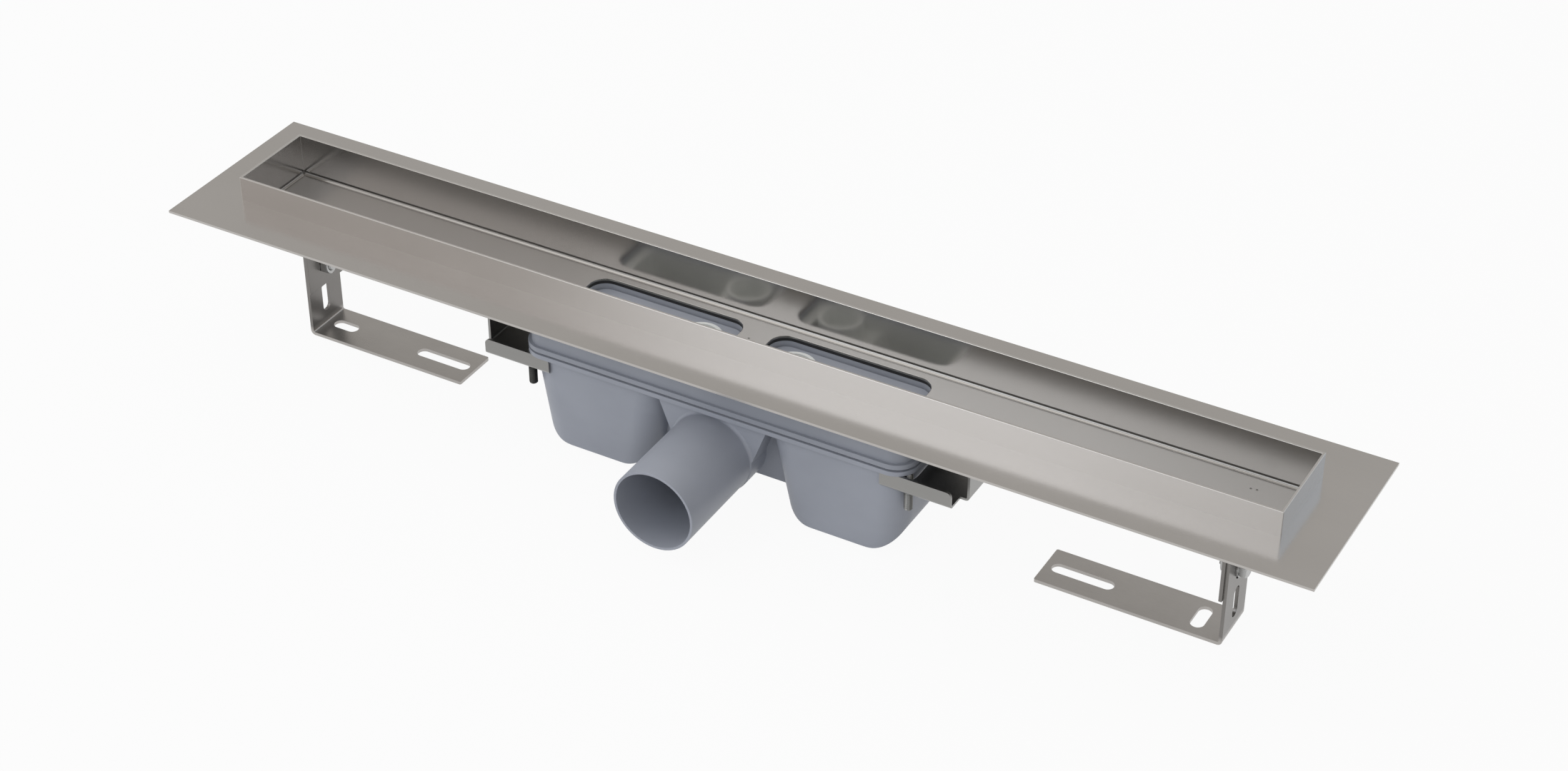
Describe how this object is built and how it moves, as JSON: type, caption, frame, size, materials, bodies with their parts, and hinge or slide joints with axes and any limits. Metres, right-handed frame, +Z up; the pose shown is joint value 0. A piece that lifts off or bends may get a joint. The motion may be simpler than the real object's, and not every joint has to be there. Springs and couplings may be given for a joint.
{
  "type": "linear shower drain",
  "caption": "Linear shower drain: flanged sheet-steel channel with drain slots, a clamped moulded water trap with a side outlet, and slotted feet.",
  "frame": {"origin": "on the floor plane that the feet stand on, midway between their two long slots, under the middle of the channel", "axes": "+X along the channel, -Y the way the outlet points, +Z up through the channel's open top"},
  "size_m": [0.716, 0.161, 0.1095],
  "materials": {
    "channel_steel": "satin rolled stainless sheet",
    "bracket_steel": "cut and folded stainless sheet",
    "fastener_steel": "bright stainless fasteners",
    "trap_plastic": "moulded blue-grey polypropylene",
    "seal_rubber": "black rubber"
  },
  "bodies": {
    "root": {"channel_tray": "channel_steel", "flange_frame": "channel_steel", "tray_gasket": "seal_rubber", "trap_top_frame": "trap_plastic", "trap_seam_seal": "seal_rubber", "trap_body": "trap_plastic", "left_trap_insert": "trap_plastic", "left_insert_seal": "seal_rubber", "left_trap_bracket": "bracket_steel", "left_bracket_studs": "fastener_steel", "left_bracket_washers": "fastener_steel", "left_bracket_nuts": "fastener_steel", "left_press_screws": "fastener_steel", "left_leg_tab": "bracket_steel", "left_foot": "bracket_steel", "left_leg_bolt": "fastener_steel", "left_leg_washer": "fastener_steel", "left_leg_nut": "fastener_steel", "right_trap_insert": "trap_plastic", "right_insert_seal": "seal_rubber", "right_trap_bracket": "bracket_steel", "right_bracket_studs": "fastener_steel", "right_bracket_washers": "fastener_steel", "right_bracket_nuts": "fastener_steel", "right_press_screws": "fastener_steel", "right_leg_tab": "bracket_steel", "right_foot": "bracket_steel", "right_leg_bolt": "fastener_steel", "right_leg_washer": "fastener_steel", "right_leg_nut": "fastener_steel"}
  },
  "joints": []
}
